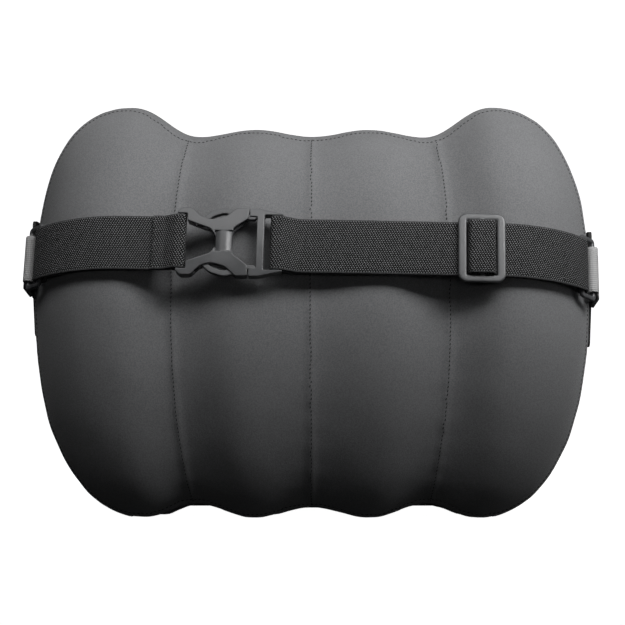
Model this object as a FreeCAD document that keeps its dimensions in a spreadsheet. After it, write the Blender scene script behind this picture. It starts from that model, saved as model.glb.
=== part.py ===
"""Lumbar support cushion: a foam core in a zipped cover of sewn panels, and an elastic strap across its back.

The frame: X runs along the cushion's width, Y from its back (negative, towards the seat) to its front
(positive, towards the user), Z up. The origin is on the floor under the middle of the cushion and its strap.
Millimetres and degrees. The strap, its rings and its buckle lie in a plane of their own, tipped to sit
square on the back's curve.
"""

import FreeCAD, Part

import math
import os

from FreeCAD import Placement, Rotation, Vector

# ---------------------------------------------------------------- driving dimensions, one cell each
DIMENSIONS = {
    # cushion
    "half_width": 200.0,
    "cap_setback": 1.5,
    "waist_height": 157.0,
    "cover_thick": 2.0,
    "core_gap": 0.5,
    "seam_inner": 88.0,
    "middle_depth": 8.0,
    "band_back": -8.0,
    "band_front": 20.0,
    # zip along the bottom of the side band
    "zip_length": 250.0,
    "zip_line": 6.0,
    "zip_level": 9.4,
    "zip_trough": 17.0,
    "zip_room": 2.0,
    "tape_thick": 0.8,
    "tape_width": 6.6,
    "coil_width": 2.2,
    "coil_thick": 1.8,
    "coil_gap": 1.0,
    "zip_slider_length": 11.0,
    "zip_slider_width": 8.4,
    "zip_plate": 1.0,
    "zip_play": 0.25,
    "zip_pull_length": 20.0,
    "zip_pull_width": 5.6,
    "zip_pull_thick": 1.5,
    # strap plane
    "strap_level": 188.4,
    "strap_depth": -61.4,
    "strap_tilt": 1.1,
    "strap_pitch": -13.0,
    # webbing
    "web_width": 38.0,
    "web_thick": 1.7,
    "web_layer": 1.9,
    "straight_half": 126.0,
    "turn_radius": 90.0,
    "turn_angle": 46.0,
    "fold_reach": 3.2,
    "fold_corner": 1.4,
    "ply_end": 24.0,
    # rectangular rings at the sides
    "ring_thick": 3.4,
    "ring_bar": 3.4,
    "ring_window": 39.2,
    "ring_spacing": 14.8,
    "ring_angle": 49.0,
    "ring_edge": 1.2,
    # side tabs and patches
    "tab_width": 33.5,
    "tab_thick": 1.6,
    "tab_loop": 3.3,
    "patch_inner": 198.9,
    "patch_thick": 2.3,
    "patch_gap": 1.2,
    # strap adjuster
    "glide_at": 115.5,
    "glide_width": 32.0,
    "glide_height": 48.5,
    "glide_thick": 3.4,
    "glide_side": 5.9,
    "glide_rail": 5.0,
    "glide_centre": 4.0,
    "glide_back": -1.0,
    "glide_edge": 1.2,
    "glide_corner": 6.0,
    # side-release buckle
    "buckle_mouth": -41.6,
    "buckle_plane": -3.2,
    "socket_thick": 9.6,
    "cavity_thick": 5.6,
    "cavity_inner": 8.6,
    "band_inner": 20.4,
    "band_length": 8.4,
    "prong_thick": 4.8,
    "plug_thick": 8.4,
    "bar_thick": 4.0,
    "prong_pivot": 3.4,
    "prong_root": 1.6,
    "prong_height": 17.6,
    "prong_gap": 0.2,
    "crown_drop": 2.2,
    "waist_depth": 9.3,
    "waist_length": 14.6,
}
D = DIMENSIONS
CELLS = "Sizes"

# The cushion's four lobes. Each list holds (distance from the middle, value) at a crest or a seam;
# between them the line is half a cosine wave, and past the last one a superellipse closes the side.
# The top and bottom lines are heights, the back and front lines are depths from the middle depth.
TOP_LINE = [(0.0, 274.5), (43.0, 279.6), (79.0, 274.5), (133.0, 295.6)]
BOTTOM_LINE = [(0.0, 5.0), (46.0, -3.0), (88.0, 7.0), (126.0, -3.0)]
BACK_LINE = [(0.0, 60.0), (46.0, 66.0), (90.0, 54.0), (130.0, 61.5)]
FRONT_LINE = [(0.0, 42.0), (44.0, 49.0), (90.0, 46.0), (140.0, 64.0)]
TOP_POWER, BOTTOM_POWER, DEPTH_POWER = 2.3, 2.15, 1.9
UPPER_BACK, UPPER_FRONT, LOWER_FRONT, LOWER_BACK = 2.1, 2.8, 3.2, 2.2
STATIONS = [0.0, 23.0, 46.0, 67.0, 88.0, 108.0, 130.0, 150.0, 166.0, 178.0, 187.0, 193.0, 196.5]
SECTION_POINTS = 28

doc = FreeCAD.newDocument("LumbarCushion")
sheet = doc.addObject("Spreadsheet::Sheet", CELLS)
for row, (name, value) in enumerate(DIMENSIONS.items(), start=1):
    sheet.set("A%d" % row, name)
    sheet.set("B%d" % row, str(value))
    sheet.setAlias("B%d" % row, name)
doc.recompute()

parts = {}


def bind(thing, **sizes):
    """Ties properties of a document object to expressions of the sheet's cells."""
    for name, expression in sizes.items():
        words = expression
        for cell in sorted(DIMENSIONS, key=len, reverse=True):
            words = words.replace("$" + cell, CELLS + "." + cell)
        thing.setExpression(name.replace("__", "."), words)


def keep(node, thing, placement=None):
    """Names a finished sub-part, and puts it in place."""
    thing.Label = node
    if placement is not None:
        thing.Placement = placement
    parts[node] = thing
    return thing


def feature(node, shape, placement=None):
    """A sub-part whose shape is made with Part's own functions."""
    thing = doc.addObject("Part::Feature", node)
    thing.Shape = shape
    return keep(node, thing, placement)


# ---------------------------------------------------------------- places
STRAP_ROTATION = Rotation(Vector(0, 1, 0), D["strap_tilt"]) * Rotation(Vector(1, 0, 0), D["strap_pitch"])
STRAP_PLANE = Placement(Vector(0, D["strap_depth"], D["strap_level"]), STRAP_ROTATION)
TURN = math.radians(D["turn_angle"])


def strap_place(x, y, z=0.0, turn=0.0):
    """A place in the strap's plane, turned about its upright axis."""
    return STRAP_PLANE * Placement(Vector(x, y, z), Rotation(Vector(0, 0, 1), turn))


def strap_end():
    """The bar of the ring that the webbing folds round, on the +X side, in the strap's plane."""
    x = D["straight_half"] + D["turn_radius"] * math.sin(TURN)
    y = D["turn_radius"] * (1 - math.cos(TURN))
    inward = Vector(-math.sin(TURN), math.cos(TURN), 0)
    return Vector(x, y, 0) + inward * D["fold_reach"]


def tab_bar():
    """The ring's other bar, which the side tab holds."""
    angle = math.radians(D["ring_angle"])
    return strap_end() + Vector(math.cos(angle), math.sin(angle), 0) * D["ring_spacing"]


# ---------------------------------------------------------------- cushion
def line_at(line, power, rim, x, inset):
    """A lobe line's value at a distance from the middle, pulled in by inset. rim is the value at the side."""
    x = abs(x)
    for (x0, v0), (x1, v1) in zip(line, line[1:]):
        if x <= x1:
            share = (1 - math.cos(math.pi * (x - x0) / (x1 - x0))) / 2
            value = v0 + (v1 - v0) * share
            return value - math.copysign(inset, value - rim)
    x0, v0 = line[-1]
    reach = D["half_width"] - x0 - inset
    share = max(0.0, 1 - ((x - x0) / reach) ** power) ** (1 / power)
    return rim + (v0 - math.copysign(inset, v0 - rim) - rim) * share


def section(x, inset):
    """The closed upright section of the cushion at x, as a smooth wire."""
    waist = D["waist_height"]
    top = line_at(TOP_LINE, TOP_POWER, waist, x, inset)
    bottom = line_at(BOTTOM_LINE, BOTTOM_POWER, waist, x, inset)
    back = line_at(BACK_LINE, DEPTH_POWER, 0.0, x, inset)
    front = line_at(FRONT_LINE, DEPTH_POWER, 0.0, x, inset)
    centre, half = (top + bottom) / 2, (top - bottom) / 2
    points = []
    for k in range(SECTION_POINTS):
        a = 2 * math.pi * k / SECTION_POINTS
        upper, lower = (UPPER_FRONT, LOWER_FRONT) if math.cos(a) > 0 else (UPPER_BACK, LOWER_BACK)
        power = 2 / (upper if math.sin(a) > 0 else lower)
        c = math.copysign(abs(math.cos(a)) ** power, math.cos(a))
        s = math.copysign(abs(math.sin(a)) ** power, math.sin(a))
        points.append(Vector(x, D["middle_depth"] + (front if c > 0 else back) * c, centre + half * s))
    curve = Part.BSplineCurve()
    curve.interpolate(points, PeriodicFlag=True)
    return Part.Wire([curve.toShape()])


def pillow(inset, floor):
    """The cushion's whole form pulled in by inset, flat where it stands at the height floor."""
    end = D["half_width"] - D["cap_setback"] - inset
    side = [x for x in STATIONS if x < end - 1] + [end]
    wires = [section(x, inset) for x in [-x for x in reversed(side[1:])] + side]
    form = Part.makeLoft(wires, True, False)
    return form.common(Part.makeBox(500, 400, 400, Vector(-250, -200, floor)))


def slab(x0, x1, y0, y1):
    """A box the full height of the cushion, for cutting its cover into panels."""
    return Part.makeBox(x1 - x0, y1 - y0, 400, Vector(x0, y0, -50))


def trough(room):
    """The straight space that the zip lies in."""
    length, width = D["zip_length"] + 2 * room, D["zip_trough"] + 2 * room
    top = D["zip_level"] + D["tape_thick"] + D["zip_room"] + room
    corner = Vector(-length / 2, D["zip_line"] - width / 2, -10)
    return Part.makeBox(length, width, top + 10, corner)


def cushion():
    """Foam core, four back panels, four front panels and the band between them."""
    core_inset = D["cover_thick"] + D["core_gap"]
    cover = pillow(0.0, 0.0).cut(pillow(D["cover_thick"], D["cover_thick"])).cut(trough(0.1))
    feature("foam_core", pillow(core_inset, core_inset).cut(trough(2 * D["core_gap"])))
    far = D["half_width"] + 20
    edges = [-far, -D["seam_inner"], 0.0, D["seam_inner"], far]
    names = ["outer_left", "inner_left", "inner_right", "outer_right"]
    for name, x0, x1 in zip(names, edges, edges[1:]):
        feature("back_panel_" + name, cover.common(slab(x0, x1, -150, D["band_back"])))
        feature("front_panel_" + name, cover.common(slab(x0, x1, D["band_front"], 150)))
    feature("side_band", cover.common(slab(-far, far, D["band_back"], D["band_front"])))


# ---------------------------------------------------------------- zip
def zip_box(name, **sizes):
    box = doc.addObject("Part::Box", name)
    bind(box, **sizes)
    return box


def zip_tape(node, side):
    """One half of the zip: a woven tape and the coil along its inner edge. side is -1 or +1 in Y."""
    tape = zip_box(node + "_tape", Length="$zip_length", Width="$tape_width", Height="$tape_thick")
    coil = zip_box(node + "_coil", Length="$zip_length", Width="$coil_width", Height="$coil_thick")
    for box, width, level in ((tape, "$tape_width", "$zip_level"),
                              (coil, "$coil_width", "$zip_level - $coil_thick")):
        offset = "$coil_gap / 2" if side > 0 else "-$coil_gap / 2 - " + width
        bind(box, Placement__Base__x="-$zip_length / 2", Placement__Base__y="$zip_line + " + offset,
             Placement__Base__z=level)
    both = doc.addObject("Part::MultiFuse", node)
    both.Shapes = [tape, coil]
    keep(node, both)


def zip_slider():
    """The zip's slider: two plates with the coils between them, a thin divider and the bail for the pull."""
    # the divider runs between the two coils and joins the plates
    full = "$zip_slider_length"
    spans = {
        "outer_plate": (full, "$zip_slider_width", "$zip_plate",
                        "-$zip_slider_width / 2", "$zip_level - $coil_thick - $zip_play - $zip_plate"),
        "inner_plate": (full, "$zip_slider_width - 1.2", "$zip_plate",
                        "-$zip_slider_width / 2 + 0.6", "$zip_level + $tape_thick + $zip_play"),
        "divider": (full, "$coil_gap - 2 * $zip_play", "$coil_thick + $tape_thick + 2 * $zip_play + 0.4",
                    "-$coil_gap / 2 + $zip_play", "$zip_level - $coil_thick - $zip_play - 0.2"),
        "bail_foot": ("5", "2.4", "2.2",
                      "-1.2", "$zip_level - $coil_thick - $zip_play - $zip_plate - 2.0"),
    }
    boxes = []
    for name, (length, width, height, y, z) in spans.items():
        box = zip_box("zip_" + name, Length=length, Width=width, Height=height)
        bind(box, Placement__Base__x="$zip_length / 2 - 2 - " + length,
             Placement__Base__y="$zip_line + " + y, Placement__Base__z=z)
        boxes.append(box)
    body = doc.addObject("Part::MultiFuse", "zip_slider_solid")
    body.Shapes = boxes
    hole = doc.addObject("Part::Cylinder", "zip_bail_hole")
    bind(hole, Radius="0.7", Height="6")
    pin = zip_pivot()
    hole.Placement = Placement(pin - Vector(0, 3, 0), Rotation(Vector(1, 0, 0), -90))
    cut = doc.addObject("Part::Cut", "zip_slider")
    cut.Base, cut.Tool = body, hole
    keep("zip_slider", cut)


def zip_pivot():
    """The middle of the pull's pin, in the slider's bail."""
    level = D["zip_level"] - D["coil_thick"] - D["zip_play"] - D["zip_plate"]
    return Vector(D["zip_length"] / 2 - 2 - 3.6, D["zip_line"], level - 1.05)


def zip_pull():
    """The pull: a plate with two ears and the pin that turns in the slider's bail."""
    pin = zip_pivot()
    length, wide, thick = D["zip_pull_length"], D["zip_pull_width"], D["zip_pull_thick"]
    plate = Part.makeBox(length, wide, thick, Vector(-length - 2.6, -wide / 2, -thick / 2))
    corners = [e for e in plate.Edges if e.BoundBox.XMax < -length and e.BoundBox.ZLength > 1]
    plate = plate.makeFillet(2.0, corners)
    shapes = [plate, Part.makeCylinder(0.6, 4.4, Vector(0, -2.2, 0), Vector(0, 1, 0))]
    for y in (-2.8, 1.6):
        shapes.append(Part.makeBox(3.8, 1.2, thick, Vector(-3.2, y, -thick / 2)))
    pull = shapes[0].multiFuse(shapes[1:]).removeSplitter()
    feature("zip_pull", pull, Placement(pin, Rotation()))


def zip_stops():
    """A metal stop crimped over the coils at each end."""
    stops = []
    for x in (-D["zip_length"] / 2 + 0.3, D["zip_length"] / 2 - 1.7):
        base = Vector(x, D["zip_line"] - 2.9, D["zip_level"] - D["coil_thick"] - 0.75)
        stops.append(Part.makeBox(1.4, 5.8, 0.7, base))
    feature("zip_stops", Part.makeCompound(stops))


# ---------------------------------------------------------------- webbing
def rounded(corners, sag=0.03):
    """Points of a path through (x, y, radius) corners, rounded with arcs in chords at most sag off."""
    path = [Vector(*corners[0][:2], 0)]
    for (x0, y0, _), (x, y, radius), (x1, y1, _) in zip(corners, corners[1:], corners[2:]):
        here = Vector(x, y, 0)
        a, b = (Vector(x0, y0, 0) - here).normalize(), (Vector(x1, y1, 0) - here).normalize()
        turn = math.pi - a.getAngle(b)
        if radius <= 0 or turn < 0.01:
            path.append(here)
            continue
        back = radius * math.tan(turn / 2)
        centre = here + (a + b).normalize() * (radius / math.cos(turn / 2))
        first, last = here + a * back - centre, here + b * back - centre
        pieces = math.ceil(turn / math.sqrt(8 * sag / radius))
        for k in range(pieces + 1):
            share = k / pieces
            sweep = first * math.sin((1 - share) * turn) + last * math.sin(share * turn)
            path.append(centre + sweep * (1 / math.sin(turn)))
    path.append(Vector(*corners[-1][:2], 0))
    return path


def ribbon(path, width, thick):
    """A strip of webbing that stands on edge along a path in the strap's plane."""
    left, right = [], []
    for k, here in enumerate(path):
        ahead = path[min(k + 1, len(path) - 1)] - here
        behind = here - path[max(k - 1, 0)]
        along = (ahead.normalize() if ahead.Length > 1e-6 else Vector()) + (
            behind.normalize() if behind.Length > 1e-6 else Vector())
        normal = Vector(-along.y, along.x, 0).normalize() * (thick / 2)
        left.append(here + normal)
        right.append(here - normal)
    outline = left + right[::-1]
    face = Part.Face(Part.makePolygon(outline + outline[:1]))
    face.translate(Vector(0, 0, -width / 2))
    return face.extrude(Vector(0, 0, width))


def mirrored(corners):
    return [(-x, y, radius) for x, y, radius in corners]


def turn_to_ring():
    """The corner of the strap's turn round the cushion's side."""
    return (D["straight_half"] + D["turn_radius"] * math.tan(TURN / 2), 0.0, D["turn_radius"])


def ring_fold():
    """Where the webbing folds round the ring's bar and comes back inside itself, following the turn."""
    bar, reach, corner = strap_end(), D["fold_reach"], D["fold_corner"]
    along = Vector(math.cos(TURN), math.sin(TURN), 0)
    inward = Vector(-math.sin(TURN), math.cos(TURN), 0)
    outer_tip = bar - inward * reach + along * reach
    inner_tip = bar + inward * reach + along * reach
    neck = bar + inward * reach - along * reach
    fold = [(outer_tip.x, outer_tip.y, corner), (inner_tip.x, inner_tip.y, corner), (neck.x, neck.y, corner)]
    inner = D["turn_radius"] - D["web_layer"]
    for back in (9.0, 14.0, 19.0, D["ply_end"]):
        angle = TURN - back / D["turn_radius"]
        x = D["straight_half"] + inner * math.sin(angle)
        fold.append((x, D["turn_radius"] - inner * math.cos(angle), 0.0))
    return fold


def webbing_left():
    """The short strap: sewn round the left ring at one end and round the socket's bar at the other."""
    bar_x, bar_y = D["buckle_mouth"] - 46.0, D["buckle_plane"]
    reach, corner, lap = D["fold_reach"], D["fold_corner"], 15.5
    fold = [
        (bar_x - reach - lap, -D["web_layer"], 0.0),
        (bar_x - reach - 7.5, -D["web_layer"], 6.0),
        (bar_x - reach + 0.5, bar_y - reach, 3.0),
        (bar_x + reach, bar_y - reach, corner),
        (bar_x + reach, bar_y + reach, corner),
    ]
    path = rounded(fold + mirrored([turn_to_ring()] + ring_fold()))
    feature("webbing_left", ribbon(path, D["web_width"], D["web_thick"]), STRAP_PLANE)


def webbing_right():
    """The long strap: right ring, over the adjuster, round the plug's bar and back to the adjuster."""
    glide, layer = D["glide_at"], D["web_layer"]
    slot = D["glide_width"] / 2 - D["glide_side"]
    over = D["glide_back"] - D["glide_thick"] - 0.2 - D["web_thick"] / 2
    bar_x, bar_y = D["buckle_mouth"] + 18.6, D["buckle_plane"]
    reach, corner = D["fold_reach"], D["fold_corner"]
    sewn_end = [
        (glide + slot - 3.4, -0.6, 0.0),
        (glide + slot - 4.2, over, 1.6),
        (glide - slot + 4.2, over, 1.6),
        (glide - slot + 3.4, layer, 2.0),
    ]
    plug_fold = [
        (bar_x + reach + 9.0, layer, 10.0),
        (bar_x + reach, bar_y + reach, 4.0),
        (bar_x - reach, bar_y + reach, corner),
        (bar_x - reach, bar_y - reach, corner),
        (bar_x + reach - 0.5, bar_y - reach, 3.0),
        (bar_x + reach + 12.0, 0.0, 10.0),
    ]
    main_run = [
        (glide - slot + 1.3, 0.0, 1.6),
        (glide - slot + 2.2, over - layer, 1.8),
        (glide + slot - 2.2, over - layer, 1.8),
        (glide + slot - 1.3, 0.0, 1.6),
    ]
    path = rounded(sewn_end + plug_fold + main_run + [turn_to_ring()] + ring_fold())
    feature("webbing_right", ribbon(path, D["web_width"], D["web_thick"]), STRAP_PLANE)


# ---------------------------------------------------------------- side tabs, patches and rings
def side_tab(node, side):
    """A doubled tab: sewn to the side patch, it holds the ring's rear bar in its fold."""
    bar, loop, thick = tab_bar(), D["tab_loop"], D["tab_thick"]
    inner = D["patch_inner"] + D["patch_thick"] + D["patch_gap"] + thick / 2
    outer = inner + thick + 0.1
    rear = bar.y + 38
    corners = [
        (inner, rear, 0.0),
        (inner, bar.y + 16.5, 6.0),
        (bar.x - loop, bar.y + 2.5, 3.0),
        (bar.x - loop, bar.y - loop, loop * 0.98),
        (bar.x + loop, bar.y - loop, loop * 0.98),
        (bar.x + loop, bar.y + 3.5, 4.0),
        (outer, bar.y + 15.5, 3.0),
        (outer, rear - 3, 0.0),
    ]
    path = rounded(corners if side > 0 else mirrored(corners))
    feature(node, ribbon(path, D["tab_width"], thick), STRAP_PLANE)


def side_patch(node, side):
    """The stiff patch sewn on the cushion's side: it carries the tab and tapers to a point below it."""
    front, rear = tab_bar().y + 18, tab_bar().y + 41.5
    middle = (front + rear) / 2
    outline = [(front, 21.0), (rear, 21.0), (rear, -26.0),
               (middle + 5, -62.0), (middle - 5, -62.0), (front, -26.0)]
    corner = [Vector(D["patch_inner"], y, z) for y, z in outline]
    plate = Part.Face(Part.makePolygon(corner + corner[:1])).extrude(Vector(D["patch_thick"], 0, 0))
    plate = plate.makeFillet(4.0, [e for e in plate.Edges if e.BoundBox.XLength > 1])
    if side < 0:
        plate = plate.mirror(Vector(), Vector(1, 0, 0))
    drop = side * D["patch_inner"] * math.sin(math.radians(D["strap_tilt"]))
    feature(node, plate, Placement(Vector(0, D["strap_depth"], D["strap_level"] - drop), Rotation()))


def ring(node, side):
    """A moulded rectangular ring: the webbing folds round one long bar and the side tab round the other."""
    outer = doc.addObject("Part::Box", node + "_outer")
    bind(outer, Length="$ring_spacing + $ring_bar", Width="$ring_thick",
         Height="$ring_window + 2 * $ring_bar", Placement__Base__x="-($ring_spacing + $ring_bar) / 2",
         Placement__Base__y="-$ring_thick / 2",
         Placement__Base__z="-$ring_window / 2 - $ring_bar")
    window = doc.addObject("Part::Box", node + "_window")
    bind(window, Length="$ring_spacing - $ring_bar", Width="$ring_thick + 2", Height="$ring_window",
         Placement__Base__x="-($ring_spacing - $ring_bar) / 2", Placement__Base__y="-$ring_thick / 2 - 1",
         Placement__Base__z="-$ring_window / 2")
    frame = doc.addObject("Part::Cut", node + "_frame")
    frame.Base, frame.Tool = outer, window
    doc.recompute()
    corners = doc.addObject("Part::Fillet", node + "_corners")
    corners.Base = frame
    corners.Edges = [(k + 1, 3.4, 3.4) for k, e in enumerate(frame.Shape.Edges)
                     if outer_corner(e, frame.Shape)]
    doc.recompute()
    rounded_frame = doc.addObject("Part::Fillet", node)
    rounded_frame.Base = corners
    rounded_frame.Edges = [(k + 1, D["ring_edge"], D["ring_edge"])
                           for k, e in enumerate(corners.Shape.Edges) if e.BoundBox.YLength < 0.01]
    middle = (strap_end() + tab_bar()) * 0.5
    keep(node, rounded_frame, strap_place(side * middle.x, middle.y, 0, side * D["ring_angle"]))


def outer_corner(edge, shape):
    """True for an edge across the thickness at an outside corner of a frame."""
    box, whole = edge.BoundBox, shape.BoundBox
    across = box.YLength > 1 and box.XLength < 0.01
    return across and min(abs(box.XMin - whole.XMin), abs(box.XMin - whole.XMax)) < 0.01


def adjuster():
    """The flat strap adjuster: a frame with a middle bar between two slots."""
    def block(name, length, height, x, deeper):
        box = doc.addObject("Part::Box", name)
        bind(box, Length=length, Width="$glide_thick + %s" % deeper, Height=height, Placement__Base__x=x,
             Placement__Base__y="-($glide_thick + %s) / 2" % deeper, Placement__Base__z="-(%s) / 2" % height)
        return box

    outer = block("glide_outer", "$glide_width", "$glide_height", "-$glide_width / 2", 0)
    slot = "$glide_width / 2 - $glide_side - $glide_centre / 2"
    high = "$glide_height - 2 * $glide_rail"
    left = block("glide_slot_left", slot, high, "-$glide_width / 2 + $glide_side", 2)
    right = block("glide_slot_right", slot, high, "$glide_centre / 2", 2)
    slots = doc.addObject("Part::MultiFuse", "glide_slots")
    slots.Shapes = [left, right]
    frame = doc.addObject("Part::Cut", "glide_frame")
    frame.Base, frame.Tool = outer, slots
    doc.recompute()
    corners = doc.addObject("Part::Fillet", "glide_corners")
    corners.Base = frame
    corners.Edges = [(k + 1, D["glide_corner"], D["glide_corner"])
                     for k, e in enumerate(frame.Shape.Edges) if outer_corner(e, frame.Shape)]
    doc.recompute()
    soft = doc.addObject("Part::Fillet", "adjuster")
    soft.Base = corners
    soft.Edges = [(k + 1, D["glide_edge"], D["glide_edge"])
                  for k, e in enumerate(corners.Shape.Edges) if e.BoundBox.YLength < 0.01]
    keep("adjuster", soft, strap_place(D["glide_at"], D["glide_back"] - D["glide_thick"] / 2))


# ---------------------------------------------------------------- buckle
def rounded_sketch(body, name, outlines):
    """A sketch on the body's own XZ plane: closed outlines of (x, z, corner radius)."""
    sketch = body.newObject("Sketcher::SketchObject", name)
    plane = next(f for f in body.Origin.OriginFeatures if f.Role == "XZ_Plane")
    sketch.AttachmentSupport = [(plane, "")]
    sketch.MapMode = "FlatFace"
    for outline in outlines:
        count = len(outline)
        ends = []
        for k, (x, z, radius) in enumerate(outline):
            here = Vector(x, z, 0)
            a = (Vector(*outline[k - 1][:2], 0) - here).normalize()
            b = (Vector(*outline[(k + 1) % count][:2], 0) - here).normalize()
            turn = math.pi - a.getAngle(b)
            if radius <= 0:
                ends.append((here, here))
                continue
            back = radius * math.tan(turn / 2)
            centre = here + (a + b).normalize() * (radius / math.cos(turn / 2))
            middle = centre + (here - centre).normalize() * radius
            sketch.addGeometry(Part.Arc(here + a * back, middle, here + b * back), False)
            ends.append((here + a * back, here + b * back))
        for k in range(count):
            sketch.addGeometry(Part.LineSegment(ends[k - 1][1], ends[k][0]), False)
    return sketch


def pad(body, sketch, name, length):
    """A pad the same distance to both sides of the sketch."""
    step = body.newObject("PartDesign::Pad", name)
    step.Profile = sketch
    step.Midplane = True
    bind(step, Length=length)
    doc.recompute()
    return step


def pocket(body, sketch, name, length):
    before = body.Shape.Volume
    step = body.newObject("PartDesign::Pocket", name)
    step.Profile = sketch
    step.Midplane = True
    bind(step, Length=length)
    doc.recompute()
    assert body.Shape.Volume < before - 1, name + " cuts nothing"
    return step


def both_halves(half):
    """An outline from its upper half, mirrored below the strap's middle line."""
    return half + [(x, -z, radius) for x, z, radius in reversed(half)]


def crown(body, name, thick):
    """Crowns a buckle part's front: thickest on the strap's middle line, thinner above and below it."""
    sketch = body.newObject("Sketcher::SketchObject", name)
    plane = next(f for f in body.Origin.OriginFeatures if f.Role == "YZ_Plane")
    sketch.AttachmentSupport = [(plane, "")]
    sketch.MapMode = "FlatFace"
    far, high, top = -D[thick], 30.0, -D[thick] / 2
    low = Vector(top + D["crown_drop"], -high, 0)
    upper = Vector(top + D["crown_drop"], high, 0)
    sketch.addGeometry(Part.Arc(low, Vector(top, 0, 0), upper), False)
    for a, b in ((upper, Vector(far, high, 0)), (Vector(far, high, 0), Vector(far, -high, 0)),
                 (Vector(far, -high, 0), low)):
        sketch.addGeometry(Part.LineSegment(a, b), False)
    pocket(body, sketch, name + "_cut", "120")


def relief(body, name, outline, thick, depth):
    """Cuts an outline out of a buckle part's front and back, leaving depth in the middle."""
    for sign, face in ((1, "front"), (-1, "back")):
        sketch = rounded_sketch(body, name + "_" + face, [outline])
        sketch.AttachmentOffset = Placement(Vector(0, 0, sign * (D[depth] + D[thick]) / 4), Rotation())
        pocket(body, sketch, name + "_cut_" + face, "($%s - $%s) / 2" % (thick, depth))


def waist(body):
    """Rounds the socket's waist like a pillar, front and back."""
    x0, x1, deep = -21.9, -10.8, D["waist_depth"] / 2
    for sign, face in ((-1, "front"), (1, "back")):
        sketch = body.newObject("Sketcher::SketchObject", "waist_" + face)
        plane = next(f for f in body.Origin.OriginFeatures if f.Role == "XY_Plane")
        sketch.AttachmentSupport = [(plane, "")]
        sketch.MapMode = "FlatFace"
        start, end = Vector(x0 - 0.6, sign * 2.2, 0), Vector(x1 + 0.6, sign * 2.2, 0)
        far = sign * D["socket_thick"]
        sketch.addGeometry(Part.Arc(start, Vector((x0 + x1) / 2, sign * deep, 0), end), False)
        corners = [end, Vector(end.x, far, 0), Vector(start.x, far, 0), start]
        for a, b in zip(corners, corners[1:]):
            sketch.addGeometry(Part.LineSegment(a, b), False)
        pocket(body, sketch, "waist_cut_" + face, "$waist_length")


def socket():
    """The buckle's socket: two hourglass plates, a mouth band between them and a bar for the webbing."""
    body = doc.addObject("PartDesign::Body", "buckle_socket")
    # x is measured back from the mouth
    outer = both_halves([
        (-10.8, 4.0, 3.0), (-10.0, 9.2, 3.0), (-1.6, 15.4, 1.5), (0.0, 17.0, 1.0), (0.0, 23.9, 1.0),
        (-8.2, 23.9, 3.0), (-15.0, 17.8, 7.0), (-25.6, 14.8, 12.0), (-32.4, 17.8, 8.0), (-38.0, 23.6, 3.5),
        (-45.0, 23.8, 3.0), (-48.0, 21.0, 1.5),
    ])
    window = both_halves([
        (-44.0, 19.4, 0.6), (-41.4, 19.4, 0.6), (-41.2, 14.4, 1.0), (-35.0, 12.0, 9.0), (-25.4, 8.6, 6.0),
        (-21.9, 3.6, 3.4),
    ])
    pad(body, rounded_sketch(body, "socket_outline", [outer, window]), "socket_plates", "$socket_thick")
    crown(body, "socket_crown", "socket_thick")
    waist(body)
    inner, wall, band = D["cavity_inner"], D["band_inner"], D["band_length"]
    upper = [(2.0, inner, 0), (2.0, wall, 0), (-band, wall, 0), (-band, 30.0, 0), (-36.0, 30.0, 0),
             (-36.0, inner, 0)]
    lower = [(x, -z, radius) for x, z, radius in upper]
    pocket(body, rounded_sketch(body, "prong_channels", [upper, lower]), "channels", "$cavity_thick")
    # the bar that the webbing folds round is thinner than the plates
    shave = [(-49.0, -19.4, 0), (-41.4, -19.4, 0), (-41.4, 19.4, 0), (-49.0, 19.4, 0)]
    relief(body, "socket_bar", shave, "socket_thick", "bar_thick")
    keep("buckle_socket", body, strap_place(D["buckle_mouth"], D["buckle_plane"]))


def plug():
    """The buckle's plug without its prongs: two tapered wings, a guard bar and a bar for the webbing."""
    body = doc.addObject("PartDesign::Body", "buckle_plug")
    inside = D["prong_pivot"] + D["prong_root"] - D["prong_gap"] + 0.4
    outer = both_halves([(0.5, 23.9, 1.0), (7.0, 23.9, 14.0), (23.4, 20.2, 0.6), (22.6, 18.0, 0.6)])
    guard = [(5.6, -18.0, 0.8), (5.6, 18.0, 0.8), (-0.5, 18.0, 0), (-0.5, -18.0, 0)]
    slot = [(10.6, -19.4, 0.8), (16.6, -19.4, 0.3), (16.6, 19.4, 0.3), (10.6, 19.4, 0.8)]
    pad(body, rounded_sketch(body, "plug_outline", [outer, slot]), "plug_frame", "$plug_thick")
    crown(body, "plug_crown", "plug_thick")
    pocket(body, rounded_sketch(body, "guard_opening", [guard]), "opening", "$plug_thick + 1")
    # the space behind the webbing's bar, the bar's reliefs, and the seats the prongs spring from
    tail = [(20.6, -19.4, 0), (20.6, 19.4, 0), (27.0, 19.4, 0), (27.0, -19.4, 0)]
    pocket(body, rounded_sketch(body, "tail_opening", [tail]), "tail", "$plug_thick + 1")
    shave = [(15.0, -19.4, 0), (21.5, -19.4, 0), (21.5, 19.4, 0), (15.0, 19.4, 0)]
    relief(body, "plug_bar", shave, "plug_thick", "bar_thick")
    low, high = D["prong_height"] - 3.2, D["prong_height"] + 3.2
    seat = [(-1.0, low, 0), (inside, low, 0), (inside, high, 0), (-1.0, high, 0)]
    seats = [seat, [(x, -z, radius) for x, z, radius in seat]]
    pocket(body, rounded_sketch(body, "prong_seats", seats), "seats", "$prong_thick + 0.4")
    keep("buckle_plug", body, strap_place(D["buckle_mouth"], D["buckle_plane"]))


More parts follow.
